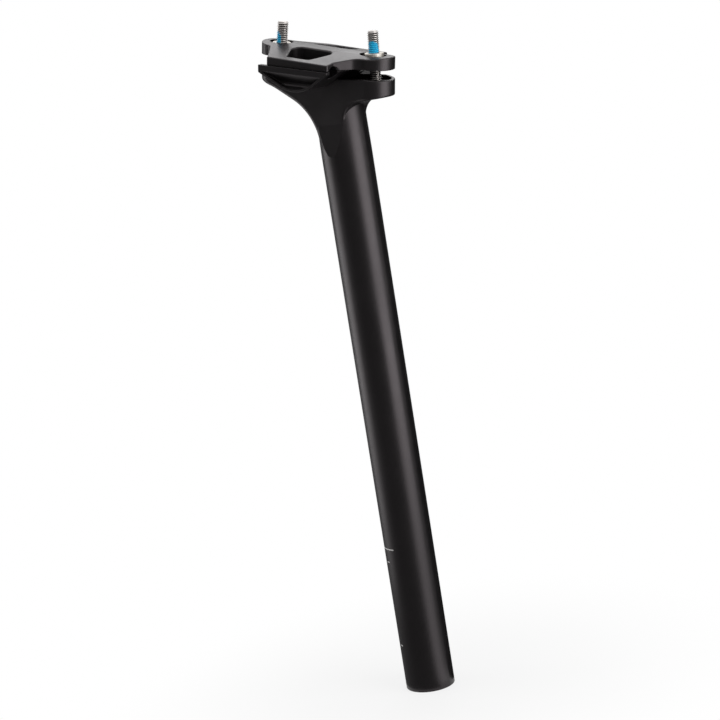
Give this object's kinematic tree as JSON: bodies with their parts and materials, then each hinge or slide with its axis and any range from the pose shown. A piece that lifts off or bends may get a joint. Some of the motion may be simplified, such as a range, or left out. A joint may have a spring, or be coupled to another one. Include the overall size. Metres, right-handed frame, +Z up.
{
  "type": "bicycle seatpost",
  "caption": "Straight round seatpost with a forged head, a rocking rail cradle and a cross-shaped top plate bolted down over the saddle rails.",
  "frame": {"origin": "centre of the tube's open lower end", "axes": "+Z up along the tube, +X to the front of the bicycle, +Y to its left"},
  "size_m": [0.0845, 0.0568, 0.3743],
  "materials": {
    "black_alloy": "satin black anodised",
    "bolt_steel": "bright stainless",
    "nut_steel": "bright plated"
  },
  "bodies": {
    "root": {"post": "black_alloy", "lower_cradle": "black_alloy", "upper_clamp": "black_alloy", "front_bolt": "bolt_steel", "rear_bolt": "bolt_steel", "front_washer": "bolt_steel", "rear_washer": "bolt_steel", "front_nut": "nut_steel", "rear_nut": "nut_steel"}
  },
  "joints": []
}
